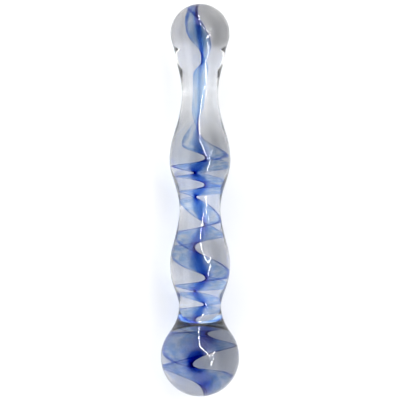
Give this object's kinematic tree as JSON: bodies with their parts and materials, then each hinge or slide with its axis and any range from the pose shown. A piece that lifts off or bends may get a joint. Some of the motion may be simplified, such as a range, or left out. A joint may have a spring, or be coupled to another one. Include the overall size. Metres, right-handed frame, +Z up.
{
  "type": "glass massage wand",
  "caption": "Solid clear glass wand with a ball end, waisted shaft, smaller knob end and a twisted blue ribbon sealed inside.",
  "frame": {"origin": "on the resting surface, under the middle of the wand's bounding box", "axes": "+Y along the wand towards the knob, +Z up, +X to the right when seen from above with the knob up"},
  "size_m": [0.0354, 0.178, 0.0355],
  "materials": {
    "clear_glass": "fire-polished clear borosilicate glass",
    "blue_glass": "transparent cobalt blue glass, sealed in the clear glass"
  },
  "bodies": {
    "root": {"clear_body": "clear_glass", "blue_ribbon": "blue_glass"}
  },
  "joints": []
}
